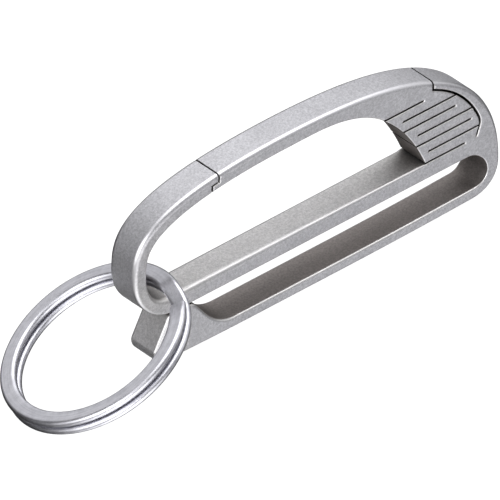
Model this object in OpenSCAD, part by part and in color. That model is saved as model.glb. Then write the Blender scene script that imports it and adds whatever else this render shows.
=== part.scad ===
// Spring-gate belt clip cut from one flat titanium plate, with a two-turn split ring on its hook.
// The plate stands on its lower bar: X runs along the bars towards the spring head, Y through the
// plate's thickness and Z up. The origin is on the underside of the lower bar, at the middle of the
// flat stretch that the clip stands on. Outlines are drawn as [x, z], from the hook's outer face.

/* [Plate] */
// Overall length of the plate, hook to head
clip_l = 72.7; // [68:0.5:78]
// Overall height, underside to the top of the arch
clip_h = 30; // [29:0.5:33]
// Thickness of the plate
plate_t = 5.7; // [4:0.1:7]
// Radius of the rounded outer edges
edge_r = 0.5; // [0.3:0.05:0.65]

/* [Hook and gate] */
// Width of the hook and of the gate arm
arm_w = 2.5; // [2.2:0.1:2.9]
// Distance from the hook's outer face to the top of the arch
arch_x = 31.5; // [28:0.5:34]
// Height of the hook's outermost point
hook_z = 17.4; // [16:0.2:18]
// Distance from the hook's outer face to the joint between hook and gate
joint_x = 16.75; // [14:0.25:20]
// Length of the gate's beak under the hook's lip
beak_l = 1.35; // [1:0.05:1.6]
// Thickness of the hook's lip over the beak
lip_t = 1.3; // [1:0.05:1.4]
// Width of the gap between hook and gate
joint_gap = 0.3; // [0.24:0.02:0.4]

/* [Bars and belt slot] */
// Thickness of the lower bar
bar_t = 1.85; // [1.6:0.05:2.2]
// Height of the belt slot
slot_h = 6.65; // [6:0.05:7]
// Thickness of the middle bar
mid_t = 2.9; // [2.4:0.05:3.2]
// Wall between the belt slot's round end and the head's outer face
end_wall = 2.4; // [2:0.1:3]
// Gap between the tongue and the middle bar, where a belt goes in
entry_gap = 0.25; // [0.2:0.05:0.6]
// Length of the tongue's flat top
tongue_l = 4.6; // [4:0.2:6]
// Radius of the lower bar's bow towards its tongue
bow_r_front = 460; // [300:20:800]
// Radius of its bow towards the head
bow_r_head = 900; // [600:50:1500]

/* [Spring head] */
// Width of each sawn slot
saw_w = 0.34; // [0.2:0.01:0.4]
// Thickness of the rim outside the long arc slot
rim_t = 2.8; // [2.5:0.05:3.2]
// Distance from the gap between gate and rim to the head's outer face
rim_l = 13.4; // [12.5:0.1:14]

/* [Split ring] */
// Outer diameter of the ring
ring_d = 31; // [29:0.2:33]
// Radial width of the flat wire
wire_w = 2.6; // [2:0.1:2.8]
// Thickness of one turn of the wire
wire_t = 1.25; // [1.2:0.05:1.4]
// Clearance between the two turns
turn_gap = 0.44; // [0.42:0.02:0.5]
// Radius of the wire's edges
wire_r = 0.6; // [0.2:0.05:0.6]
// Distance from the hook's inner face to the wire's middle, where the ring hangs
hang_in = 3.46; // [3.4:0.02:3.8]
// Height of the wire's middle there over the middle bar
hang_up = 3.26; // [2.9:0.02:3.4]
// Turn of the ring's slope away from the plate
ring_turn = 25.5; // [22:0.5:27]

/* [Hidden] */

// How far cuts run past a face
over = 1;

// Steps on a rounded edge
EDGE_STEPS = 4;

// Handle of a cubic curve that draws a quarter round, as a share of its radius
round_share = 0.5523;

// Levels of the bars above the underside
mid_z = bar_t + slot_h;
mid_top = mid_z + mid_t;

// The flat stretch of the underside, which the clip stands on
flat_from = 24;
flat_l = 17;
flat_to = flat_from + flat_l;
rest_x = flat_from + flat_l / 2;

// The outline's curves: how far each handle reaches along its side
arch_front_handle_share = 0.98;
hook_up_handle_share = 0.43;
arch_head_handle_in = 20.2;
head_up_handle_share = 0.84;
corner_share = 0.62;
head_z = 5.65;
corner_l = 5.8;
hook_low_r = 8.5;
hook_inner_l = 5;

// The head's height over the middle bar
head_h = clip_h - mid_top;

// The opening's end against the spring head
open_end = 14.8;
open_lean = 7.2;
open_rise_share = 0.93;
open_arch_share = 0.2917;

// The belt slot's round end
slot_end_l = 4.1;
slot_end_up = 3.9;
slot_foot_l = 2.75;

// The tongue at the lower bar's free end
tongue_foot_x = 4;
tongue_foot_r = 2;
tongue_x = 6.65;
tongue_nose_r = 0.85;
face_slope = 15;
nose_slope = 30;
ramp_l = 8.9;
ramp_top_handle = 1.7;
ramp_low_handle = 5.5;

// The sawn slots, from the gate down to the middle bar: where each blind end lies, from the arc
// slot's middle towards the arc. The gate's root stands over the topmost slot.
blind_end_share = [0.2747, 0.0483, 0.643, 0.2236, 0.8247, 0.3448, 0.7563];
SLOTS = len(blind_end_share);
root_share = 0.363;
slot_pitch = ((1 - root_share) * head_h - saw_w / 2) / (SLOTS - 1);

// The arc slot's circle, and the tighter bend and straight tail that it ends in
rim_c_in = 20.2;
rim_slot_r = rim_c_in - rim_t;
rim_c_down_share = 1.1667;
rim_rise_share = 0.9355;
rim_bend = 23;
rim_hook_r = 2.6;
rim_hook_end = -20;
rim_tail = 1.5;
RIM_STEPS = 16;
TAIL_STEPS = 6;

// Where the lower bar meets the head's wall
bar_root_in = 6.4;

// Where the ring hangs, round from its highest point, and where its ends and its ramp lie
hang_deg = 30;
ring_end_deg = -12;
ramp_deg = 24;
end_taper_deg = 8;
end_taper_share = 0.22;
RING_STEP_DEG = 5;
RAMP_STEPS = 8;
CORNER_STEPS = 3;

function sq(v) = v * v;
function right_of(v) = [v.y, -v.x] / norm(v);

// Points of a cubic curve from p to s, without its last point
function curve(p, q, r, s, n) = [
    for (i = [0 : n - 1]) let (t = i / n, u = 1 - t)
        u * u * u * p + 3 * u * u * t * q + 3 * u * t * t * r + t * t * t * s
];

// The line beside that curve, at distance d on its right, without its last point
function curve_beside(p, q, r, s, n, d) = let (on = curve(p, q, r, s, n)) [
    for (i = [0 : n - 1]) let (t = i / n, u = 1 - t)
        on[i] + d * right_of(u * u * (q - p) + 2 * u * t * (r - q) + t * t * (s - r))
];

// Points of an arc about c, both ends included
function arc(c, r, from, to, n) = [
    for (i = [0 : n]) let (a = from + (to - from) * i / n) c + r * [cos(a), sin(a)]
];

// Rise of the bowed lower bar at x, and points along its face at a given height over the underside
function bow(x) =
    x < flat_from ? sq(flat_from - x) / (2 * bow_r_front)
    : x > flat_to ? sq(x - flat_to) / (2 * bow_r_head)
    : 0;

function bar_line(from, to, lift, n) = [
    for (i = [0 : n - 1]) let (x = from + (to - from) * i / n) [x, bow(x) + lift]
];

// The arch's outer line, from the hook's outermost point to the top and on to the head
hook_tip = [0, hook_z];
arch_top = [arch_x, clip_h];
head_tip = [clip_l, head_z];
hook_handle = hook_tip + [0, hook_up_handle_share * (clip_h - hook_z)];
arch_handle = arch_top - [arch_front_handle_share * arch_x, 0];
arch_front = curve(hook_tip, hook_handle, arch_handle, arch_top, 18);
arch_head = curve(arch_top, [clip_l - arch_head_handle_in, clip_h],
                  head_tip + [0, head_up_handle_share * (clip_h - head_z)], head_tip, 30);

// The head's lower corner
corner_x = clip_l - corner_l;
corner_foot = [corner_x, bow(corner_x)];
head_corner = curve(head_tip, head_tip - [0, corner_share * (head_z - corner_foot.y)],
                    corner_foot + [corner_share * corner_l, 0], corner_foot, 9);

// The tongue, from its foot over its nose and flat top and down the ramp to the lower bar
foot_x = tongue_foot_x + tongue_foot_r;
foot_c = [foot_x, bow(foot_x) + tongue_foot_r];
tongue_top = mid_z - entry_gap;
nose_c = [tongue_x + tongue_nose_r, tongue_top - tongue_nose_r];
flat_end = [nose_c.x + tongue_l - tongue_nose_r, tongue_top];
ramp_foot = [flat_end.x + ramp_l, bow(flat_end.x + ramp_l) + bar_t];
tongue = concat(
    arc(foot_c, tongue_foot_r, 270, 180 - face_slope, 7),
    arc(nose_c, tongue_nose_r, 180 - nose_slope, 90, 5),
    curve(flat_end, flat_end + [ramp_top_handle, 0], ramp_foot - [ramp_low_handle, 0], ramp_foot, 12)
);

// The belt slot's round end
slot_end_x = clip_l - end_wall;
slot_foot_x = slot_end_x - slot_foot_l;
slot_foot = [slot_foot_x, bow(slot_foot_x) + bar_t];
slot_side = [slot_end_x, mid_z - slot_end_up];
slot_head = [slot_end_x - slot_end_l, mid_z];
slot_round = concat(
    curve(slot_foot, slot_foot + [round_share * slot_foot_l, 0],
          slot_side - [0, round_share * (slot_side.y - slot_foot.y)], slot_side, 7),
    curve(slot_side, slot_side + [0, round_share * slot_end_up],
          slot_head + [round_share * slot_end_l, 0], slot_head, 8),
    [slot_head]
);

// The hook's lower curve, from the middle bar's underside up to its outermost point
hook_low = [hook_low_r, mid_z];
hook_rise = curve(hook_low, hook_low - [round_share * hook_low_r, 0],
                  hook_tip - [0, round_share * (hook_z - mid_z)], hook_tip, 12);

// The plate's outline, clockwise as seen from the front, with the metal on its right all the way
outline = concat(
    arch_front, arch_head, head_corner,
    bar_line(corner_x, flat_to, 0, 2), bar_line(flat_to, flat_from, 0, 1), bar_line(flat_from, foot_x, 0, 2),
    tongue, bar_line(ramp_foot.x, slot_foot_x, bar_t, 9), slot_round, hook_rise
);

// The opening inside hook and gate, clockwise
open_low = [arm_w + hook_inner_l, mid_top];
open_left = [arm_w, hook_z];
open_top = [arch_x, clip_h - arm_w];
open_head = [clip_l - open_end, mid_top];
open_handle = [open_arch_share * (open_head.x - arch_x), 0];
opening = concat(
    curve(open_low, open_low - [corner_share * hook_inner_l, 0],
          open_left - [0, corner_share * (hook_z - mid_top)], open_left, 9),
    curve_beside(hook_tip, hook_handle, arch_handle, arch_top, 18, arm_w),
    curve(open_top, open_top + open_handle,
          open_head + [-open_lean, open_rise_share * head_h], open_head, 24),
    [open_head]
);

// Moves each point of a closed loop to the right of its direction of travel
function shifted(loop, d) = let (n = len(loop)) [
    for (i = [0 : n - 1])
        let (a = right_of(loop[i] - loop[(i + n - 1) % n]), b = right_of(loop[(i + 1) % n] - loop[i]))
        loop[i] + d * (a + b) / (1 + a * b)
];

// Cuts a clockwise loop into triangles, one ear after the other. left lists the corners still there.
function turn(a, b, c) = (b.x - a.x) * (c.y - a.y) - (b.y - a.y) * (c.x - a.x);
function covers(a, b, c, p) = turn(a, b, p) <= 0 && turn(b, c, p) <= 0 && turn(c, a, p) <= 0;
function corner(left, i) = let (n = len(left)) [left[(i + n - 1) % n], left[i % n], left[(i + 1) % n]];
function is_ear(loop, t, left) =
    turn(loop[t[0]], loop[t[1]], loop[t[2]]) < 0
    && len([
        for (j = left)
            if (len(search(j, t)) == 0 && covers(loop[t[0]], loop[t[1]], loop[t[2]], loop[j])) j
    ]) == 0;
function ears(loop, left, i = 0) =
    let (t = corner(left, i))
    len(left) == 3 ? [t]
    : is_ear(loop, t, left) ? concat([t], ears(loop, [for (j = left) if (j != t[1]) j], i % len(left)))
    : ears(loop, left, i + 1);

// A prism between the plate's two faces. Each of sections is [y, inset], from the front to the back.
module lofted(loop, sections) {
    n = len(loop);
    m = len(sections);
    points = [for (s = sections) for (p = shifted(loop, s[1])) [p.x, s[0], p.y]];
    sides = [
        for (k = [0 : m - 2]) for (i = [0 : n - 1])
            let (a = k * n + i, b = k * n + (i + 1) % n)
            each [[b, a, a + n], [b, a + n, b + n]]
    ];
    front = ears(shifted(loop, sections[0][1]), [for (i = [0 : n - 1]) i]);
    back = [for (t = front) [for (j = [2, 1, 0]) (m - 1) * n + t[j]]];
    polyhedron(points, concat(front, sides, back));
}

// Half of a rounded edge: distance from the plate's middle, and inset
round_half = [
    for (k = [0 : EDGE_STEPS]) let (a = 90 * k / EDGE_STEPS)
        [plate_t / 2 - edge_r * (1 - cos(a)), edge_r * (1 - sin(a))]
];

module blank() {
    lofted(outline, concat(
        [for (s = round_half) [-s[0], s[1]]],
        [for (k = [EDGE_STEPS : -1 : 0]) round_half[k]]
    ));
}

module opening_cut() {
    past = [plate_t / 2 + over, edge_r];
    lofted(opening, concat(
        [[-past[0], -past[1]]],
        [for (s = round_half) [-s[0], -s[1]]],
        [for (k = [EDGE_STEPS : -1 : 0]) [round_half[k][0], -round_half[k][1]]],
        [[past[0], -past[1]]]
    ));
}

// Extrudes a figure drawn in [x, z] right through the plate
module through() {
    rotate([90, 0, 0])
        linear_extrude(height = plate_t + 2 * over, center = true)
            children();
}

// A cut of width w along a path, square at its ends
function beside(path, i) =
    let (n = len(path), a = right_of(path[max(i, 1)] - path[max(i, 1) - 1]),
         b = right_of(path[min(i, n - 2) + 1] - path[min(i, n - 2)]))
    (a + b) / (1 + a * b);

module saw_cut(path, w) {
    n = len(path);
    polygon(concat(
        [for (i = [0 : n - 1]) path[i] + w / 2 * beside(path, i)],
        [for (i = [n - 1 : -1 : 0]) path[i] - w / 2 * beside(path, i)]
    ));
}

// The joint between hook and gate: down past the lip, back along the beak and down into the opening
function arch_z(x) = lookup(x, arch_front);
beak_x = joint_x - beak_l;
joint_low = arch_z(beak_x) - arm_w - 2 * over;
joint_path = [
    [joint_x, clip_h + over],
    [joint_x, arch_z(joint_x) - lip_t],
    [beak_x, arch_z(beak_x) - lip_t],
    [beak_x, joint_low]
];

// The arc slot: from the plate's top down to its circle, round under the rim and into its tail. It is
// laid out as a true circle, and then stands as much higher or lower as the head does.
rim_c = [clip_l - rim_c_in, clip_h - rim_c_down_share * head_h];
rim_gap_x = clip_l - rim_l;
rim_from = acos((rim_gap_x - rim_c.x) / rim_slot_r);
rim_hook_c = rim_c + (rim_slot_r - rim_hook_r) * [cos(rim_bend), sin(rim_bend)];
rim_arc = arc(rim_c, rim_slot_r, rim_from, rim_bend, RIM_STEPS);
rim_hook = arc(rim_hook_c, rim_hook_r, rim_bend, rim_hook_end, TAIL_STEPS);
rim_tail_end = rim_hook[TAIL_STEPS] + rim_tail * [sin(rim_hook_end), -cos(rim_hook_end)];
rim_stretch = rim_rise_share * head_h / rim_slot_r;
rim_path = concat([[rim_gap_x, clip_h + over]], [
    for (p = concat(rim_arc, [for (i = [1 : TAIL_STEPS]) rim_hook[i]], [rim_tail_end]))
        [p.x, rim_c.y + rim_stretch * (p.y - rim_c.y)]
]);

// The arc slot's place at a given height
function rim_x(z) =
    let (up = (z - rim_c.y) / rim_stretch, over_hook = up - (rim_hook_c.y - rim_c.y))
    up > rim_arc[RIM_STEPS].y - rim_c.y ? rim_c.x + sqrt(sq(rim_slot_r) - sq(up))
    : rim_hook_c.x + sqrt(sq(rim_hook_r) - sq(over_hook));

// The straight slots start from the opening and from the arc slot by turns
function saw_z(i) = mid_top + saw_w / 2 + (SLOTS - 1 - i) * slot_pitch;
saw_from_x = open_head.x - open_lean - open_handle.x;
function saw_path(i) =
    let (z = saw_z(i))
    [[i % 2 == 0 ? saw_from_x : rim_x(z), z], [rim_c.x + blind_end_share[i] * rim_slot_r, z]];

module plate() {
    difference() {
        blank();
        opening_cut();
        through() {
            for (i = [0 : SLOTS - 1]) saw_cut(saw_path(i), saw_w);
            saw_cut(rim_path, saw_w);
            saw_cut(joint_path, joint_gap);
        }
    }
}

// The stretches of the plate that bend or swing, each bounded by the slots round it
gate_z = saw_z(0);
spring_z = saw_z(SLOTS - 1);
bar_root_x = clip_l - bar_root_in;

module gate_area() {
    polygon(concat(
        joint_path, [[saw_from_x, joint_low], [saw_from_x, gate_z], [rim_x(gate_z), gate_z]],
        [for (i = [len(rim_path) - 1 : -1 : 0]) if (rim_path[i].y > gate_z) rim_path[i]]
    ));
}

module spring_area() {
    polygon(concat(
        [[saw_from_x, gate_z], [rim_x(gate_z), gate_z]],
        [for (p = rim_path) if (p.y < gate_z) p],
        [saw_path(SLOTS - 1)[1], [saw_from_x, spring_z]]
    ));
}

module bar_area() {
    translate([-over, -over])
        square([bar_root_x + over, over + tongue_top + entry_gap / 2]);
}

// Sets the plate's pieces in the part's own frame
module placed() {
    translate([-rest_x, 0, 0]) children();
}

module frame() {
    color("darkgray") placed()
        difference() {
            plate();
            through() {
                gate_area();
                spring_area();
                bar_area();
            }
        }
}

module gate() {
    color("silver") placed()
        intersection() {
            plate();
            through() gate_area();
        }
}

module gate_spring() {
    color("lightgray") placed()
        intersection() {
            plate();
            through() spring_area();
        }
}

module belt_bar() {
    color("gray") placed()
        intersection() {
            plate();
            through() bar_area();
        }
}

// The wire's section: radius and height from the middle of the wire, clockwise
wire_corners = [[1, 1, 90], [1, -1, 0], [-1, -1, -90], [-1, 1, -180]];
wire_section = [
    for (c = wire_corners) for (i = [0 : CORNER_STEPS]) let (a = c[2] - 90 * i / CORNER_STEPS)
        [c[0] * (wire_w / 2 - wire_r) + wire_r * cos(a), c[1] * (wire_t / 2 - wire_r) + wire_r * sin(a)]
];

// The wire starts on the upper turn, drops to the lower one along the ramp and ends below its start
ring_r = ring_d / 2;
wire_path_r = ring_r - wire_w / 2;
turn_h = wire_t + turn_gap;
level_deg = 360 - ramp_deg;
run_deg = 2 * level_deg + ramp_deg;
function smooth(t) = t * t * (3 - 2 * t);
function drop(run) = turn_h * smooth(min(max((run - level_deg) / ramp_deg, 0), 1));

// How much of its thickness the wire loses at run, where its ends are ground off
function taper(run) = end_taper_share * max(0, 1 - min(run, run_deg - run) / end_taper_deg);

wire_runs = [
    for (i = [0 : 2]) i * end_taper_deg / 2,
    for (a = [end_taper_deg + RING_STEP_DEG : RING_STEP_DEG : level_deg - 1]) a,
    for (i = [0 : RAMP_STEPS]) level_deg + ramp_deg * i / RAMP_STEPS,
    for (a = [level_deg + ramp_deg + RING_STEP_DEG : RING_STEP_DEG : run_deg - end_taper_deg - 1]) a,
    for (i = [2 : -1 : 0]) run_deg - i * end_taper_deg / 2
];

function wire_ring(run) =
    let (a = ring_end_deg - run, cut = taper(run), upper = run < level_deg)
    [for (p = wire_section)
        let (r = wire_path_r + p.x, off = cut * (upper ? wire_t / 2 + p.y : wire_t / 2 - p.y),
             z = p.y - wire_t / 2 - drop(run) + (upper ? -off : off))
        [r * cos(a), r * sin(a), z]];

// The least gap between the two turns, from point to point
least_gap = min([
    for (a = wire_runs) for (b = wire_runs)
        if (abs(b - a - 360) < RING_STEP_DEG) for (p = wire_ring(a)) for (q = wire_ring(b)) norm(p - q)
]);
echo(least_gap = least_gap);

// The ring hangs where its wire crosses the plate inside the hook. Its slope is such that its lowest
// point meets the surface that the clip stands on.
ring_h = wire_t + turn_h;
hang = [arm_w + hang_in, 0, mid_top + hang_up];
hang_reach = ring_r - wire_r + wire_path_r * cos(hang_deg);
hang_h = ring_h / 2 - wire_r;
ring_tilt = asin((hang.z - wire_r) / norm([hang_reach, hang_h])) - atan2(hang_h, hang_reach);
hang_x = wire_path_r * cos(hang_deg) * cos(ring_tilt) + ring_h / 2 * sin(ring_tilt);
hang_y = wire_path_r * sin(hang_deg);
hang_z = wire_path_r * cos(hang_deg) * sin(ring_tilt) - ring_h / 2 * cos(ring_tilt);
ring_c = hang - [
    hang_x * cos(ring_turn) + hang_y * sin(ring_turn),
    hang_y * cos(ring_turn) - hang_x * sin(ring_turn),
    hang_z
];

module split_ring() {
    n = len(wire_section);
    m = len(wire_runs);
    points = [for (run = wire_runs) each wire_ring(run)];
    sides = [
        for (k = [0 : m - 2]) for (i = [0 : n - 1])
            let (a = k * n + i, b = k * n + (i + 1) % n)
            each [[a, b, b + n], [a, b + n, a + n]]
    ];
    start = [for (i = [n - 1 : -1 : 0]) i];
    end = [for (i = [0 : n - 1]) (m - 1) * n + i];
    color("lightsteelblue") placed()
        translate(ring_c) rotate([0, -ring_tilt, -ring_turn])
            polyhedron(points, concat([start], sides, [end]));
}

frame();
gate();
gate_spring();
belt_bar();
split_ring();
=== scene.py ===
"""The looks of a belt key clip: a blasted titanium plate with saw-thin slots, and a split ring on it."""

import math

import bmesh
import bpy
import numpy as np
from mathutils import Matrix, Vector


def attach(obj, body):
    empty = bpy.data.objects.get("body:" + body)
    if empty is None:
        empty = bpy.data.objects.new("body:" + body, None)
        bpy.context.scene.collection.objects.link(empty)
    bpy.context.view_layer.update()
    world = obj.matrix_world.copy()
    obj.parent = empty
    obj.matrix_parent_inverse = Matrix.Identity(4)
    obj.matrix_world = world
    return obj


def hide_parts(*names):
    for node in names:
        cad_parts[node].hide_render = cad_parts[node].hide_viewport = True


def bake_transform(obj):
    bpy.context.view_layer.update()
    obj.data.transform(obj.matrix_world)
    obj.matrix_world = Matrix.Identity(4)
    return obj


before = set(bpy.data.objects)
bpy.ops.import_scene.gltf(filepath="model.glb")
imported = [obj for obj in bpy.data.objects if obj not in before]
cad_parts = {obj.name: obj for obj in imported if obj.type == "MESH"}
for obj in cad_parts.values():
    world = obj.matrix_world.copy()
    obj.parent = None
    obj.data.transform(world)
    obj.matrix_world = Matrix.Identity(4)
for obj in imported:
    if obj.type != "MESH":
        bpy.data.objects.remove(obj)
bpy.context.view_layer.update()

MM = 0.001

# The plate, in millimetres, as in the part's source
CLIP_L = 72.7
CLIP_H = 30.0
PLATE_T = 5.7
EDGE_R = 0.5
ARM_W = 2.5
ARCH_X = 31.5
HOOK_Z = 17.4
JOINT_X = 16.75
BEAK_L = 1.35
LIP_T = 1.3
JOINT_GAP = 0.3
BAR_T = 1.85
SLOT_H = 6.65
MID_T = 2.9
END_WALL = 2.4
ENTRY_GAP = 0.25
TONGUE_L = 4.6
BOW_R_FRONT = 460.0
BOW_R_HEAD = 900.0
SAW_W = 0.34
RIM_T = 2.8
RIM_L = 13.4
OVER = 1.0
FLAT_FROM = 24.0
FLAT_TO = 41.0
REST_X = (FLAT_FROM + FLAT_TO) / 2
BAR_ROOT_IN = 6.4
MID_Z = BAR_T + SLOT_H
MID_TOP = MID_Z + MID_T
HEAD_H = CLIP_H - MID_TOP

# The outline's curves, as in the source
ARCH_FRONT_SHARE = 0.98
HOOK_UP_SHARE = 0.43
ARCH_HEAD_IN = 20.2
HEAD_UP_SHARE = 0.84
HEAD_Z = 5.65
CORNER_L = 5.8
CORNER_SHARE = 0.62
HOOK_LOW_R = 8.5
HOOK_INNER_L = 5.0
OPEN_END = 14.8
OPEN_LEAN = 7.2
OPEN_RISE_SHARE = 0.93
OPEN_ARCH_SHARE = 0.2917
ROUND = 0.5523
SLOT_END_L = 4.1
SLOT_END_UP = 3.9
SLOT_FOOT_L = 2.75
TONGUE_FOOT_X = 4.0
TONGUE_FOOT_R = 2.0
TONGUE_X = 6.65
TONGUE_NOSE_R = 0.85
FACE_SLOPE = 15.0
NOSE_SLOPE = 30.0
RAMP_L = 8.9
RAMP_TOP = 1.7
RAMP_LOW = 5.5

# The steps along each curve, as in the source
ARCH_FRONT_N, ARCH_HEAD_N, CORNER_N = 18, 30, 9
BAR_HEAD_N, BAR_FLAT_N, BAR_FRONT_N, BAR_TOP_N = 12, 3, 9, 17
TONGUE_FOOT_N, TONGUE_NOSE_N, TONGUE_RAMP_N = 7, 5, 12
SLOT_LOW_N, SLOT_UP_N, HOOK_LOW_N = 7, 8, 12
OPEN_LOW_N, OPEN_HEAD_N = 9, 24
RIM_ARC_N, RIM_HOOK_N = 16, 6

# The sawn slots and the arc slot, as in the source
BLIND_END_SHARE = [0.2747, 0.0483, 0.643, 0.2236, 0.8247, 0.3448, 0.7563]
SLOTS = len(BLIND_END_SHARE)
ROOT_SHARE = 0.363
SLOT_PITCH = ((1 - ROOT_SHARE) * HEAD_H - SAW_W / 2) / (SLOTS - 1)
RIM_C_IN = 20.2
RIM_SLOT_R = RIM_C_IN - RIM_T
RIM_C_DOWN_SHARE = 1.1667
RIM_RISE_SHARE = 0.9355
RIM_BEND = 23.0
RIM_HOOK_R = 2.6
RIM_HOOK_END = -20.0
RIM_TAIL = 1.5

# How finely the looks are made: curve steps against the source's, steps on rounded edges, smooth shading
FINER = 3
EDGE_STEPS = 7
LIP_STEPS = 4
CAP_STEPS = 6
SMOOTH_DEG = 40.0

# Rounding at the slots' lips and at fresh cut edges, which the worn edges fade into
LIP_R = 0.2
CUT_EDGE_R = 0.15
CUT_EDGE_FADE = 1.2
SPRING_EDGE_X = 45.0
SPRING_EDGE_Z = 24.0

# Rounding where the tumbling has worn the edges more: up the arch, and on the middle bar beside the hook
ARCH_EDGE_R = 0.8
MID_EDGE_R = 0.95
WORN_FROM_Z = 9.0
WORN_TO_Z = 19.0

# The split ring, as in the source, but with its wire a hair within the solid's
RING_D = 31.0
RING_WITHIN = 0.02
WIRE_W = 2.6
WIRE_T = 1.25
TURN_GAP = 0.44
WIRE_R = 0.6
HANG_IN = 3.46
HANG_UP = 3.26
HANG_DEG = 30.0
RING_TURN = 25.5
RING_END_DEG = -12.0
RAMP_DEG = 24.0
END_TAPER_DEG = 8.0
END_TAPER_SHARE = 0.22
END_TAPER_STEPS = 6
RING_STEP_DEG = 2.5
CORNER_STEPS = 8

# The noises in the materials
GRAIN = {"Scale": 5200.0, "Detail": 3.0, "Roughness": 0.65}
SPECK = {"Scale": 2600.0, "Detail": 2.0, "Roughness": 0.5}
CLOUDS = {"Scale": 140.0, "Detail": 4.0, "Roughness": 0.55}
LINES = {"Scale": 1.0, "Detail": 3.0, "Roughness": 0.6}
SCUFFS = {"Scale": 600.0, "Detail": 5.0, "Roughness": 0.75}
FIBRES = {"Scale": 900.0, "Detail": 3.0}

# Titanium: its tones by mottling and cloudiness, worn edges lightened partly as polish and partly as a
# painted highlight, roughness and bump
TITANIUM_TONES = [(0.36, (0.40, 0.40, 0.41)), (0.5, (0.56, 0.56, 0.57)), (0.64, (0.72, 0.72, 0.73))]
CLOUD_TONES = [(0.35, (0.50, 0.50, 0.51)), (0.65, (0.62, 0.62, 0.63))]
GRAIN_SHARE = 0.5
CLOUD_SHARE = 0.35
WORN_AND_HIGHLIGHT_TONE = (0.86, 0.86, 0.87, 1)
WORN_AND_HIGHLIGHT_SHARE = 0.65
GRAIN_ROUGH, BLASTED_ROUGH = 0.2, 0.48
WORN_ROUGH = -0.22
BLASTED_BUMP = {"Strength": 0.35, "Distance": 0.00004}

# Painted shade: how far round a place the metal's own walls are looked for, and how much they darken and warm
# its colour
PAINTED_SHADE_REACH = 25.0 * MM
PAINTED_SHADE_SAMPLES = 16
PAINTED_SHADE_TONES = [
    (0.05, (0.03, 0.03, 0.03)), (0.15, (0.2, 0.19, 0.19)), (0.3, (0.46, 0.44, 0.43)),
    (0.5, (0.75, 0.73, 0.71)), (0.68, (1.0, 0.985, 0.97)), (0.85, (1.0, 0.985, 0.975)),
    (1.0, (0.975, 0.97, 1.0)),
]

# Painted shade on the inner walls of the belt slot and the spring: they are made darker and warmer than
# the blasted outside. The places are from x and z to x and z. A wall is a face that turns no more than
# a little to the plate's front or back.
SPRING_WALL_UP = 0.5
SPRING_WALL_TO_X = 60.0
SPRING_WALL_TO_Z = 25.0
PAINTED_SHADE_WALLS = [
    (TONGUE_X + TONGUE_L, BAR_T, CLIP_L - END_WALL, MID_Z),
    (SPRING_EDGE_X, MID_TOP + SPRING_WALL_UP, SPRING_WALL_TO_X, SPRING_WALL_TO_Z),
]
PAINTED_SHADE_FADE = 0.25
PAINTED_SHADE_TINT = (0.51, 0.475, 0.46, 1)
WALL_TURN = 0.1
WALL_TURN_FADE = 0.4

# Ring steel: lines drawn along the wire and scuffs, and the roughness of its flat faces and round sides
DRAWN_SCALE = 5000.0
ALONG_SCALE = 120.0
LINE_SHARE = 0.45
RING_TONES = [(0.38, (0.60, 0.60, 0.65)), (0.62, (0.84, 0.84, 0.90))]
FLAT_LEAST, FLAT_FULL = 0.93, 0.995
SATIN_ROUGH = (0.25, 0.27)
POLISHED_ROUGH = (0.15, 0.3)
DRAWN_BUMP = {"Strength": 0.2, "Distance": 0.00002}

# The floor, half its width in metres
FLOOR_HALF = 6.0
PAPER_TONES = [(0.3, (0.12, 0.12, 0.12)), (0.7, (0.15, 0.15, 0.15))]
PAPER_ROUGH = 0.9

# The studio's soft lights: the direction each shines from, and its strength in the middle
SOFT_LIGHTS = {
    "overhead": ((0.26, 0.0, 0.97), 3.8),
    "front": ((-0.04, -0.95, -0.3), 2.9),
    "right": ((0.87, -0.38, 0.32), 1.0),
    "front_left": ((-0.86, -0.35, 0.37), 4.4),
    "left": ((-0.99, -0.04, -0.17), 0.4),
    "floor_glow": ((-0.21, -0.51, -0.83), 2.1),
    "back_right": ((0.65, 0.42, 0.63), 1.0),
    "back": ((0.0, 0.86, 0.51), 0.8),
}
SOFTNESS = 10.0

# The camera: its lens and sensor, what it sees across in millimetres, and where it looks from and at
LENS = 1500.0
SENSOR_W = 36.0
CLIP_END = 40.0
VIEW_W = 74.1
VIEW_FROM = (-0.5375, -0.6036, 0.589)
VIEW_MIDDLE = (-7.17, 0.06, 9.87)


def at(*v):
    """A point or direction of the plate's outline."""
    return np.array(v, float)


def eased(t):
    """A share from nothing to one, with a soft start and end."""
    return t * t * (3 - 2 * t)


def curve(p, q, r, s, n):
    """Points of a cubic curve from p to s, without its last point."""
    t = (np.arange(n * FINER) / (n * FINER))[:, None]
    u = 1 - t
    return u**3 * p + 3 * u * u * t * q + 3 * u * t * t * r + t**3 * s


def curve_beside(p, q, r, s, n, d):
    """The line beside that curve, at distance d on its right, without its last point."""
    t = (np.arange(n * FINER) / (n * FINER))[:, None]
    u = 1 - t
    way = u * u * (q - p) + 2 * u * t * (r - q) + t * t * (s - r)
    way /= np.linalg.norm(way, axis=1)[:, None]
    return curve(p, q, r, s, n) + d * np.column_stack([way[:, 1], -way[:, 0]])


def arc(c, r, start, end, n):
    """Points of an arc about c, both ends included."""
    a = np.radians(np.linspace(start, end, n * FINER + 1))[:, None]
    return c + r * np.hstack([np.cos(a), np.sin(a)])


def bow(x):
    """Rise of the bowed lower bar."""
    if x < FLAT_FROM:
        return (FLAT_FROM - x) ** 2 / (2 * BOW_R_FRONT)
    return (x - FLAT_TO) ** 2 / (2 * BOW_R_HEAD) if x > FLAT_TO else 0.0


def bar_line(start, end, lift, n):
    """Points along the bowed bar's face at a height over its underside, without the last one."""
    steps = n * FINER
    xs = [start + (end - start) * i / steps for i in range(steps)]
    return np.array([[x, bow(x) + lift] for x in xs])


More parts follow.
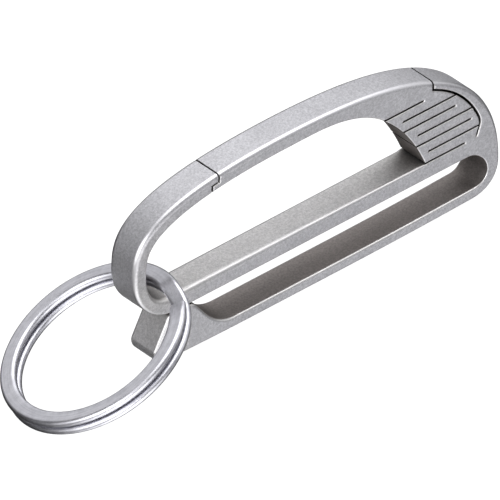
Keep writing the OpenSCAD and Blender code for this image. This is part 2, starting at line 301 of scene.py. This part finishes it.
# The arch's outer line
hook_tip, arch_top, head_tip = at(0, HOOK_Z), at(ARCH_X, CLIP_H), at(CLIP_L, HEAD_Z)
front_line = (
    hook_tip, hook_tip + at(0, HOOK_UP_SHARE * (CLIP_H - HOOK_Z)),
    arch_top - at(ARCH_FRONT_SHARE * ARCH_X, 0), arch_top,
)
arch_front = curve(*front_line, ARCH_FRONT_N)
arch_head = curve(
    arch_top, at(CLIP_L - ARCH_HEAD_IN, CLIP_H),
    head_tip + at(0, HEAD_UP_SHARE * (CLIP_H - HEAD_Z)), head_tip, ARCH_HEAD_N,
)

# The head's lower corner
corner_x = CLIP_L - CORNER_L
corner_foot = at(corner_x, bow(corner_x))
head_corner = curve(
    head_tip, head_tip - at(0, CORNER_SHARE * (head_tip[1] - corner_foot[1])),
    corner_foot + at(CORNER_SHARE * CORNER_L, 0), corner_foot, CORNER_N,
)

# The tongue, from its foot over its nose and flat top and down its ramp
foot_x = TONGUE_FOOT_X + TONGUE_FOOT_R
foot_c = at(foot_x, bow(foot_x) + TONGUE_FOOT_R)
tongue_top = MID_Z - ENTRY_GAP
nose_c = at(TONGUE_X + TONGUE_NOSE_R, tongue_top - TONGUE_NOSE_R)
flat_end = at(nose_c[0] + TONGUE_L - TONGUE_NOSE_R, tongue_top)
ramp_foot = at(flat_end[0] + RAMP_L, bow(flat_end[0] + RAMP_L) + BAR_T)
tongue = np.vstack([
    arc(foot_c, TONGUE_FOOT_R, 270, 180 - FACE_SLOPE, TONGUE_FOOT_N),
    arc(nose_c, TONGUE_NOSE_R, 180 - NOSE_SLOPE, 90, TONGUE_NOSE_N),
    curve(flat_end, flat_end + at(RAMP_TOP, 0), ramp_foot - at(RAMP_LOW, 0), ramp_foot, TONGUE_RAMP_N),
])

# The belt slot's round end
slot_end_x = CLIP_L - END_WALL
slot_foot_x = slot_end_x - SLOT_FOOT_L
slot_foot = at(slot_foot_x, bow(slot_foot_x) + BAR_T)
slot_side = at(slot_end_x, MID_Z - SLOT_END_UP)
slot_head = at(slot_end_x - SLOT_END_L, MID_Z)
slot_round = np.vstack([
    curve(
        slot_foot, slot_foot + at(ROUND * SLOT_FOOT_L, 0),
        slot_side - at(0, ROUND * (slot_side[1] - slot_foot[1])), slot_side, SLOT_LOW_N,
    ),
    curve(
        slot_side, slot_side + at(0, ROUND * SLOT_END_UP),
        slot_head + at(ROUND * SLOT_END_L, 0), slot_head, SLOT_UP_N,
    ),
    [slot_head],
])

# The hook's lower curve
hook_low = at(HOOK_LOW_R, MID_Z)
hook_rise = curve(
    hook_low, hook_low - at(ROUND * HOOK_LOW_R, 0),
    hook_tip - at(0, ROUND * (HOOK_Z - MID_Z)), hook_tip, HOOK_LOW_N,
)

outline = np.vstack([
    arch_front, arch_head, head_corner, bar_line(corner_x, FLAT_TO, 0, BAR_HEAD_N),
    bar_line(FLAT_TO, FLAT_FROM, 0, BAR_FLAT_N), bar_line(FLAT_FROM, foot_x, 0, BAR_FRONT_N), tongue,
    bar_line(ramp_foot[0], slot_foot[0], BAR_T, BAR_TOP_N), slot_round, hook_rise,
])

# The opening inside hook and gate
open_low, open_left = at(ARM_W + HOOK_INNER_L, MID_TOP), at(ARM_W, HOOK_Z)
open_top, open_head = at(ARCH_X, CLIP_H - ARM_W), at(CLIP_L - OPEN_END, MID_TOP)
open_handle = at(OPEN_ARCH_SHARE * (open_head[0] - ARCH_X), 0)
opening = np.vstack([
    curve(
        open_low, open_low - at(CORNER_SHARE * HOOK_INNER_L, 0),
        open_left - at(0, CORNER_SHARE * (HOOK_Z - MID_TOP)), open_left, OPEN_LOW_N,
    ),
    curve_beside(*front_line, ARCH_FRONT_N, ARM_W),
    curve(
        open_top, open_top + open_handle,
        open_head + at(-OPEN_LEAN, OPEN_RISE_SHARE * HEAD_H), open_head, OPEN_HEAD_N,
    ),
    [open_head, open_head - at(OVER, 0)],
])


def shifted(loop, d):
    """Moves each point of a closed loop to the right of its way, all alike or each by its own length."""
    step = np.roll(loop, -1, axis=0) - loop
    step /= np.linalg.norm(step, axis=1)[:, None]
    b = np.column_stack([step[:, 1], -step[:, 0]])
    a = np.roll(b, 1, axis=0)
    return loop + np.reshape(d, (-1, 1)) * (a + b) / (1 + np.sum(a * b, axis=1))[:, None]


def rounded_half(r, steps):
    """Half of a rounded edge: distance from the plate's middle, and inset."""
    angles = [math.pi / 2 * k / steps for k in range(steps + 1)]
    return [(PLATE_T / 2 - r * (1 - math.cos(a)), r * (1 - math.sin(a))) for a in angles]


def as_mesh(name, points, faces):
    """An object with these points, in millimetres from the hook's outer face."""
    mesh = bpy.data.meshes.new(name)
    mesh.from_pydata((np.array(points) * MM).tolist(), [], faces)
    bm = bmesh.new()
    bm.from_mesh(mesh)
    bmesh.ops.recalc_face_normals(bm, faces=bm.faces)
    bm.to_mesh(mesh)
    bm.free()
    obj = bpy.data.objects.new(name, mesh)
    bpy.context.scene.collection.objects.link(obj)
    return obj


def tube(name, points, m, n):
    """An object through m loops of n points each, closed at both ends."""
    sides = [
        (k * n + i, k * n + (i + 1) % n, k * n + n + (i + 1) % n, k * n + n + i)
        for k in range(m - 1) for i in range(n)
    ]
    return as_mesh(name, points, sides + [tuple(range(n)), tuple(range(m * n - 1, m * n - n - 1, -1))])


def lofted(name, loop, sections):
    """A prism across the plate through sections of (y, inset), each a number or one for each point."""
    n = len(loop)
    points = []
    for y, inset in sections:
        line = shifted(loop, inset)
        points.append(np.column_stack([line[:, 0] - REST_X, np.broadcast_to(y, n), line[:, 1]]))
    return tube(name, np.vstack(points), len(sections), n)


def cut_edges(loop, radii, low, high):
    """These edge radii, fading to a fresh cut's small one at the points well between two corners."""
    depth = np.min(np.minimum(loop - low, high - loop), axis=1)
    return radii + (CUT_EDGE_R - radii) * eased(np.clip(depth / CUT_EDGE_FADE, 0, 1))


def blank():
    """The plate's outline with rounded edges, which are worn rounder towards the top of the arch."""
    worn = np.clip((outline[:, 1] - WORN_FROM_Z) / (WORN_TO_Z - WORN_FROM_Z), 0, 1)
    radii = EDGE_R + (ARCH_EDGE_R - EDGE_R) * eased(worn)
    slot_low, slot_high = at(slot_foot_x - SLOT_END_L, BAR_T), at(slot_end_x + END_WALL / 2, MID_Z)
    half = rounded_half(cut_edges(outline, radii, slot_low, slot_high), EDGE_STEPS)
    return lofted("blank", outline, [(-y, s) for y, s in half] + [(y, s) for y, s in reversed(half)])


def cutter(name, loop, r, steps):
    """A hole's shape, which widens where the hole meets the plate's faces, so that its rim is rounded."""
    half = [(PLATE_T / 2 + OVER, r)] + rounded_half(r, steps)
    return lofted(name, loop, [(-y, -s) for y, s in half] + [(y, -s) for y, s in reversed(half)])


def strip(path, w, round_end=False):
    """The closed line round a cut of width w along a path."""
    path = np.array(path, float)
    step = np.diff(path, axis=0)
    step /= np.linalg.norm(step, axis=1)[:, None]
    right = np.column_stack([step[:, 1], -step[:, 0]])
    a, b = np.vstack([right[:1], right]), np.vstack([right, right[-1:]])
    side = (a + b) / (1 + np.sum(a * b, axis=1))[:, None]
    there, back = path + w / 2 * side, (path - w / 2 * side)[::-1]
    end = np.empty((0, 2))
    if round_end:
        first = math.atan2(step[-1][1], step[-1][0])
        angles = first + np.linspace(math.pi / 2, -math.pi / 2, CAP_STEPS + 1)[1:-1]
        end = (path[-1] + w / 2 * np.column_stack([np.cos(angles), np.sin(angles)]))[::-1]
    return np.vstack([there, end, back])[::-1]


def arch_z(x):
    """The height of the arch's outer line over a place between hook and top."""
    return float(np.interp(x, arch_front[:, 0], arch_front[:, 1]))


# The joint between hook and gate
beak_x = JOINT_X - BEAK_L
joint_low = arch_z(beak_x) - ARM_W - 2 * OVER
joint_path = [
    (JOINT_X, CLIP_H + OVER), (JOINT_X, arch_z(JOINT_X) - LIP_T),
    (beak_x, arch_z(beak_x) - LIP_T), (beak_x, joint_low),
]

# The arc slot, from the plate's top round under the rim and into its tail
rim_c = at(CLIP_L - RIM_C_IN, CLIP_H - RIM_C_DOWN_SHARE * HEAD_H)
rim_gap_x = CLIP_L - RIM_L
rim_from = math.degrees(math.acos((rim_gap_x - rim_c[0]) / RIM_SLOT_R))
bend, tail = math.radians(RIM_BEND), math.radians(RIM_HOOK_END)
rim_hook_c = rim_c + (RIM_SLOT_R - RIM_HOOK_R) * at(math.cos(bend), math.sin(bend))
rim_arc = arc(rim_c, RIM_SLOT_R, rim_from, RIM_BEND, RIM_ARC_N)
rim_hook = arc(rim_hook_c, RIM_HOOK_R, RIM_BEND, RIM_HOOK_END, RIM_HOOK_N)
rim_stretch = RIM_RISE_SHARE * HEAD_H / RIM_SLOT_R
rim_path = np.vstack([rim_arc, rim_hook[1:], [rim_hook[-1] + RIM_TAIL * at(math.sin(tail), -math.cos(tail))]])
rim_path[:, 1] = rim_c[1] + rim_stretch * (rim_path[:, 1] - rim_c[1])
rim_path = np.vstack([[(rim_gap_x, CLIP_H + OVER)], rim_path])


def rim_x(z):
    """The arc slot's place at a height."""
    up = (z - rim_c[1]) / rim_stretch
    if up > rim_arc[-1][1] - rim_c[1]:
        return rim_c[0] + math.sqrt(RIM_SLOT_R**2 - up**2)
    return rim_hook_c[0] + math.sqrt(RIM_HOOK_R**2 - (up - rim_hook_c[1] + rim_c[1]) ** 2)


# The straight slots, which start from the opening and from the arc slot by turns
saw_from_x = open_head[0] - OPEN_LEAN - open_handle[0]


def saw_z(i):
    """The height of a straight slot, counted from the top."""
    return MID_TOP + SAW_W / 2 + (SLOTS - 1 - i) * SLOT_PITCH


def saw_path(i):
    """A straight slot's line, from its open end to its blind one."""
    z = saw_z(i)
    return [(saw_from_x if i % 2 == 0 else rim_x(z), z), (rim_c[0] + BLIND_END_SHARE[i] * RIM_SLOT_R, z)]


gate_z, spring_z = saw_z(0), saw_z(SLOTS - 1)
bar_root_x = CLIP_L - BAR_ROOT_IN


def area(name, points):
    """A prism right through the plate, which marks off one of its pieces."""
    return lofted(name, np.array(points, float), [(-PLATE_T / 2 - OVER, 0), (PLATE_T / 2 + OVER, 0)])


def gate_area():
    corners = [(saw_from_x, joint_low), (saw_from_x, gate_z), (rim_x(gate_z), gate_z)]
    return area("gate_area", [*joint_path, *corners, *[p for p in rim_path[::-1] if p[1] > gate_z]])


def spring_area():
    arc_part = [p for p in rim_path if p[1] < gate_z]
    corners = [saw_path(SLOTS - 1)[1], (saw_from_x, spring_z)]
    return area("spring_area", [(saw_from_x, gate_z), (rim_x(gate_z), gate_z), *arc_part, *corners])


def bar_area():
    top = tongue_top + ENTRY_GAP / 2
    return area("bar_area", [(-OVER, -OVER), (-OVER, top), (bar_root_x, top), (bar_root_x, -OVER)])


def combined(name, base, tools, operation):
    """base with each of the tools cut away or kept, as a new object. The tools stay."""
    copy = bpy.data.objects.new(name, base.data.copy())
    bpy.context.scene.collection.objects.link(copy)
    for tool in tools:
        cut = copy.modifiers.new("cut", "BOOLEAN")
        cut.operation, cut.solver, cut.object = operation, "EXACT", tool
    return settled(copy)


def settled(obj):
    """Applies an object's modifiers to its mesh."""
    bpy.context.view_layer.update()
    mesh = bpy.data.meshes.new_from_object(obj.evaluated_get(bpy.context.evaluated_depsgraph_get()))
    obj.modifiers.clear()
    old, obj.data = obj.data, mesh
    bpy.data.meshes.remove(old)
    mesh.name = obj.name
    return obj


def shaded(obj):
    """Smooth shading on the rounded edges, while the broad faces stay flat."""
    obj.data.shade_smooth()
    obj.data.set_sharp_from_angle(angle=math.radians(SMOOTH_DEG))
    weigh = obj.modifiers.new("weigh", "WEIGHTED_NORMAL")
    weigh.keep_sharp = True
    return settled(obj)


def opening_radii():
    """The opening's edge radii: small at the spring, and worn round on the middle bar beside the hook."""
    radii = cut_edges(opening, EDGE_R, at(SPRING_EDGE_X, 0), at(CLIP_L, SPRING_EDGE_Z))
    radii[-1] = EDGE_R
    worn = np.clip(1 - np.linalg.norm(opening - open_low, axis=1) / HOOK_INNER_L, 0, 1)
    return radii + (MID_EDGE_R - EDGE_R) * worn


def plate_pieces():
    """The plate with its opening and slots, parted where it bends. Returns its four pieces by name."""
    slots = {"rim_slot": rim_path, **{f"saw_{i}": saw_path(i) for i in range(SLOTS)}}
    cuts = [
        cutter("opening", opening, opening_radii(), EDGE_STEPS),
        cutter("joint", strip(joint_path, JOINT_GAP), LIP_R, LIP_STEPS),
        *[cutter(name, strip(path, SAW_W, round_end=True), LIP_R, LIP_STEPS) for name, path in slots.items()],
    ]
    solid = blank()
    whole = combined("plate", solid, cuts, "DIFFERENCE")
    areas = {"gate": gate_area(), "gate_spring": spring_area(), "belt_bar": bar_area()}
    parted = {name: combined(name, whole, [a], "INTERSECT") for name, a in areas.items()}
    parted["frame"] = combined("frame_body", whole, list(areas.values()), "DIFFERENCE")
    for spent in [solid, whole, *cuts, *areas.values()]:
        bpy.data.objects.remove(spent)
    return {name: shaded(piece) for name, piece in parted.items()}


# The split ring's wire: it starts on the upper turn, drops along the ramp and ends below its start
ring_r = RING_D / 2 - RING_WITHIN
wire_path_r = ring_r - WIRE_W / 2
turn_h = WIRE_T + TURN_GAP
level_deg = 360 - RAMP_DEG
run_deg = 2 * level_deg + RAMP_DEG
ring_h = WIRE_T + turn_h
ring_turn, hang_a = math.radians(RING_TURN), math.radians(HANG_DEG)

# It hangs where its wire crosses the plate inside the hook, with its lowest point on the ground
hang = (ARM_W + HANG_IN, 0, MID_TOP + HANG_UP)
hang_reach = ring_r + RING_WITHIN - WIRE_R + (wire_path_r + RING_WITHIN) * math.cos(hang_a)
hang_h = ring_h / 2 - WIRE_R
tilt = math.asin((hang[2] - WIRE_R) / math.hypot(hang_reach, hang_h)) - math.atan2(hang_h, hang_reach)


def ring_turned(x, y, z):
    """From the ring's own directions to the row frame's."""
    x, z = x * math.cos(tilt) - z * math.sin(tilt), x * math.sin(tilt) + z * math.cos(tilt)
    cosine, sine = math.cos(ring_turn), math.sin(ring_turn)
    return (x * cosine + y * sine, y * cosine - x * sine, z)


hang_out = wire_path_r + RING_WITHIN
hang_place = ring_turned(hang_out * math.cos(hang_a), hang_out * math.sin(hang_a), -ring_h / 2)
ring_c = [a - b for a, b in zip(hang, hang_place)]


def wire_section():
    """Points round the wire's section: from its middle outwards, and up."""
    across, up = WIRE_W / 2 - WIRE_R, WIRE_T / 2 - WIRE_R
    out = []
    for sx, sz, first in ((1, 1, 90), (1, -1, 0), (-1, -1, -90), (-1, 1, -180)):
        for i in range(CORNER_STEPS + 1):
            a = math.radians(first - 90 * i / CORNER_STEPS)
            out.append((sx * across + WIRE_R * math.cos(a), sz * up + WIRE_R * math.sin(a)))
    return out


def drop(run):
    """How far the wire has come down from the upper turn."""
    return turn_h * eased(min(max((run - level_deg) / RAMP_DEG, 0), 1))


def ring_point(x, y, z):
    """From the ring's own frame to the row frame, in millimetres."""
    x, y, z = ring_turned(x, y, z)
    return (x + ring_c[0] - REST_X, y + ring_c[1], z + ring_c[2])


def split_ring():
    """The wire's section carried along its two turns, thinned at both ends."""
    section = wire_section()
    level_steps = round((run_deg - 2 * END_TAPER_DEG) / RING_STEP_DEG)
    runs = list(np.linspace(0, END_TAPER_DEG, END_TAPER_STEPS + 1)[:-1])
    runs += list(np.linspace(END_TAPER_DEG, run_deg - END_TAPER_DEG, level_steps + 1))
    runs += list(np.linspace(run_deg - END_TAPER_DEG, run_deg, END_TAPER_STEPS + 1)[1:])
    points = []
    for run in runs:
        a = math.radians(RING_END_DEG - run)
        cut = END_TAPER_SHARE * max(0, 1 - min(run, run_deg - run) / END_TAPER_DEG)
        for px, pz in section:
            r = wire_path_r + px
            off = cut * (WIRE_T / 2 + pz) if run < level_deg else -cut * (WIRE_T / 2 - pz)
            points.append(ring_point(r * math.cos(a), r * math.sin(a), pz - WIRE_T / 2 - drop(run) - off))
    return shaded(tube("key_ring", points, len(runs), len(section)))


def material(name):
    """A node material with its Principled shader."""
    made = bpy.data.materials.new(name)
    made.use_nodes = True
    return made, made.node_tree, made.node_tree.nodes["Principled BSDF"]


def add(tree, kind, inputs=None, **settings):
    """A node with these settings and input values."""
    made = tree.nodes.new(kind)
    for key, value in settings.items():
        setattr(made, key, value)
    for key, value in (inputs or {}).items():
        if isinstance(value, bpy.types.NodeSocket):
            tree.links.new(value, made.inputs[key])
        else:
            made.inputs[key].default_value = value
    return made


def ramp(tree, value, stops):
    """A colour ramp over a value."""
    made = add(tree, "ShaderNodeValToRGB", {0: value})
    made.color_ramp.elements.remove(made.color_ramp.elements[1])
    for i, (place, colour) in enumerate(stops):
        element = made.color_ramp.elements[0] if i == 0 else made.color_ramp.elements.new(place)
        element.position = place
        element.color = (*colour, 1)
    return made.outputs[0]


def noise(tree, place, kind):
    """One of the noises at a place."""
    return add(tree, "ShaderNodeTexNoise", {"Vector": place, **kind}).outputs[0]


def math_node(tree, operation, a, b=0.0, c=0.0):
    """A number worked out from up to three others."""
    return add(tree, "ShaderNodeMath", {0: a, 1: b, 2: c}, operation=operation).outputs[0]


def vector_node(tree, operation, inputs):
    """The outputs of a sum on vectors."""
    return add(tree, "ShaderNodeVectorMath", inputs, operation=operation).outputs


def blended(tree, share, colour, other, blend_type="MIX"):
    """A colour with a share of another one in it."""
    return add(tree, "ShaderNodeMix", {0: share, 6: colour, 7: other}, data_type="RGBA",
               blend_type=blend_type).outputs[2]


def within(tree, value, low, high, fade):
    """One between these bounds, fading to nothing outside them."""
    kind, smooth = "ShaderNodeMapRange", "SMOOTHSTEP"
    rise = add(tree, kind, {0: value, 1: low - fade, 2: low}, interpolation_type=smooth)
    fall = add(tree, kind, {0: value, 1: high, 2: high + fade, 3: 1.0, 4: 0.0}, interpolation_type=smooth)
    return math_node(tree, "MULTIPLY", rise.outputs[0], fall.outputs[0])


def halfway(tree, share):
    """One where the share is a half, and nothing where it is nothing or one."""
    rest = math_node(tree, "SUBTRACT", 1.0, share)
    return math_node(tree, "MULTIPLY", math_node(tree, "MULTIPLY", share, rest), 4.0)


def with_painted_shade(tree, colour):
    """The colour with painted shade: darkened and warmed a little where other walls stand close."""
    open_sky = add(tree, "ShaderNodeAmbientOcclusion", {"Distance": PAINTED_SHADE_REACH}, samples=PAINTED_SHADE_SAMPLES)
    return blended(tree, 1.0, colour, ramp(tree, open_sky.outputs["AO"], PAINTED_SHADE_TONES), "MULTIPLY")


def with_painted_wall_shade(tree, colour, place, across):
    """The colour with painted shade on the inner walls of the belt slot and spring, darker and warmer than
    the rest.
    """
    x, _, z = add(tree, "ShaderNodeSeparateXYZ", {0: place}).outputs
    wall = within(tree, across, 0.0, WALL_TURN, WALL_TURN_FADE)
    for x_from, z_from, x_to, z_to in PAINTED_SHADE_WALLS:
        along = within(tree, x, (x_from - REST_X) * MM, (x_to - REST_X) * MM, PAINTED_SHADE_FADE * MM)
        high = within(tree, z, z_from * MM, z_to * MM, PAINTED_SHADE_FADE * MM)
        mask = math_node(tree, "MULTIPLY", math_node(tree, "MULTIPLY", along, high), wall)
        colour = blended(tree, mask, colour, PAINTED_SHADE_TINT, "MULTIPLY")
    return colour


def titanium():
    """Blasted titanium: a fine grain, faint cloudiness, polished edges lightened partly as a painted
    highlight, and painted shade.
    """
    made, tree, shader = material("blasted_titanium")
    coord = add(tree, "ShaderNodeTexCoord").outputs
    grain, speck, cloud = (noise(tree, coord["Object"], kind) for kind in (GRAIN, SPECK, CLOUDS))
    across = math_node(tree, "ABSOLUTE", add(tree, "ShaderNodeSeparateXYZ", {0: coord["Normal"]}).outputs[1])
    edge = halfway(tree, across)
    specks = math_node(tree, "MULTIPLY", speck, 1 - GRAIN_SHARE)
    mottled = math_node(tree, "MULTIPLY_ADD", grain, GRAIN_SHARE, specks)
    base = ramp(tree, mottled, TITANIUM_TONES)
    clouded = blended(tree, CLOUD_SHARE, base, ramp(tree, cloud, CLOUD_TONES))
    # Rounded edges lighter in colour: partly polish from the tumbling, partly a painted highlight
    worn = blended(tree, math_node(tree, "MULTIPLY", edge, WORN_AND_HIGHLIGHT_SHARE), clouded, WORN_AND_HIGHLIGHT_TONE)
    # Painted shade: the inner walls of the belt slot and spring are made darker and warmer
    wall_shaded = with_painted_wall_shade(tree, worn, coord["Object"], across)
    # Painted shade on the base colour, darker and a little warmer where the metal's own walls stand close
    tree.links.new(with_painted_shade(tree, wall_shaded), shader.inputs["Base Color"])
    shader.inputs["Metallic"].default_value = 1.0
    dull = math_node(tree, "MULTIPLY_ADD", grain, GRAIN_ROUGH, BLASTED_ROUGH)
    tree.links.new(math_node(tree, "MULTIPLY_ADD", edge, WORN_ROUGH, dull), shader.inputs["Roughness"])
    bump = add(tree, "ShaderNodeBump", {**BLASTED_BUMP, "Height": mottled})
    tree.links.new(bump.outputs[0], shader.inputs["Normal"])
    return made


def ring_steel():
    """Nickel-bright spring steel: flat faces with fine lines drawn along the wire, round sides polished."""
    made, tree, shader = material("ring_steel")
    coord = add(tree, "ShaderNodeTexCoord").outputs
    axis = ring_turned(0, 0, 1)
    centre = [(c - o) * MM for c, o in zip(ring_c, (REST_X, 0, 0))]
    arm = vector_node(tree, "SUBTRACT", {0: coord["Object"], 1: centre})[0]
    height = vector_node(tree, "DOT_PRODUCT", {0: arm, 1: axis})["Value"]
    reach = vector_node(tree, "LENGTH", {0: arm})["Value"]
    drawn = add(tree, "ShaderNodeCombineXYZ", {
        i: math_node(tree, "MULTIPLY", v, DRAWN_SCALE) for i, v in enumerate((reach, height))
    }).outputs[0]
    along = vector_node(tree, "SCALE", {0: coord["Object"], "Scale": ALONG_SCALE})[0]
    lines = noise(tree, vector_node(tree, "ADD", {0: drawn, 1: along})[0], LINES)
    scuffs = noise(tree, coord["Object"], SCUFFS)
    turned = vector_node(tree, "DOT_PRODUCT", {0: coord["Normal"], 1: axis})["Value"]
    facing = math_node(tree, "ABSOLUTE", turned)
    flat = add(tree, "ShaderNodeMapRange", {0: facing, 1: FLAT_LEAST, 2: FLAT_FULL}).outputs[0]
    scuffed = math_node(tree, "MULTIPLY", scuffs, 1 - LINE_SHARE)
    mixed = math_node(tree, "MULTIPLY_ADD", lines, LINE_SHARE, scuffed)
    tree.links.new(ramp(tree, mixed, RING_TONES), shader.inputs["Base Color"])
    shader.inputs["Metallic"].default_value = 1.0
    satin = math_node(tree, "MULTIPLY_ADD", mixed, *SATIN_ROUGH)
    polished = math_node(tree, "MULTIPLY_ADD", scuffs, *POLISHED_ROUGH)
    rough = add(tree, "ShaderNodeMix", {0: flat, 2: polished, 3: satin}).outputs[0]
    tree.links.new(rough, shader.inputs["Roughness"])
    bump = add(tree, "ShaderNodeBump", {**DRAWN_BUMP, "Height": mixed})
    tree.links.new(bump.outputs[0], shader.inputs["Normal"])
    return made


def paper():
    """The pale floor, with a barely seen grain."""
    made, tree, shader = material("floor_paper")
    fibres = noise(tree, add(tree, "ShaderNodeTexCoord").outputs["Object"], FIBRES)
    tree.links.new(ramp(tree, fibres, PAPER_TONES), shader.inputs["Base Color"])
    shader.inputs["Roughness"].default_value = PAPER_ROUGH
    shader.inputs["Emission Color"].default_value = (1, 1, 1, 1)
    shader.inputs["Emission Strength"].default_value = 1.0
    return made


def stage():
    """The floor, which lets the light from below through to the object."""
    h = FLOOR_HALF
    mesh = bpy.data.meshes.new("floor")
    mesh.from_pydata([(-h, -h, 0), (h, -h, 0), (h, h, 0), (-h, h, 0)], [], [(0, 1, 2, 3)])
    floor = bpy.data.objects.new("floor", mesh)
    bpy.context.scene.collection.objects.link(floor)
    mesh.materials.append(paper())
    floor.visible_glossy = False
    floor.visible_shadow = False


def studio():
    """Soft light from a few sides, brightest in the middle of each and fading round it."""
    world = bpy.data.worlds.new("studio")
    world.use_nodes = True
    tree = world.node_tree
    direction = add(tree, "ShaderNodeTexCoord").outputs["Generated"]
    total = 0.0
    for place, strength in SOFT_LIGHTS.values():
        facing = vector_node(tree, "DOT_PRODUCT", {0: direction, 1: place})["Value"]
        glow = math_node(tree, "POWER", math_node(tree, "MAXIMUM", facing, 0.0), SOFTNESS)
        total = math_node(tree, "MULTIPLY_ADD", glow, strength, total)
    tree.links.new(total, tree.nodes["Background"].inputs["Strength"])
    tree.nodes["Background"].inputs["Color"].default_value = (1, 1, 1, 1)
    bpy.context.scene.world = world


def camera():
    """A long lens, so that the view has little perspective, as in the photograph."""
    data = bpy.data.cameras.new("camera")
    data.lens, data.sensor_width = LENS, SENSOR_W
    data.clip_end = CLIP_END
    back = Vector(VIEW_FROM).normalized()
    obj = bpy.data.objects.new("camera", data)
    obj.location = Vector([v * MM for v in VIEW_MIDDLE]) + back * (VIEW_W * MM * LENS / SENSOR_W)
    obj.rotation_euler = back.to_track_quat("Z", "Y").to_euler()
    bpy.context.scene.collection.objects.link(obj)
    bpy.context.scene.camera = obj


pieces = plate_pieces()
metal = titanium()
for piece in pieces.values():
    piece.data.materials.clear()
    piece.data.materials.append(metal)
pieces["gate"].name = "gate_arm"
pieces["gate_spring"].name = "spring_strips"
pieces["belt_bar"].name = "lower_bar"
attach(pieces["frame"], "frame")
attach(pieces["gate"], "gate")
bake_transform(pieces["gate_spring"])
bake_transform(pieces["belt_bar"])
for node_name, piece in pieces.items():
    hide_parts(node_name)

ring = split_ring()
ring.data.materials.append(ring_steel())
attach(ring, "split_ring")
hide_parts("split_ring")

stage()
studio()
camera()
bpy.context.scene.view_settings.view_transform = "Standard"
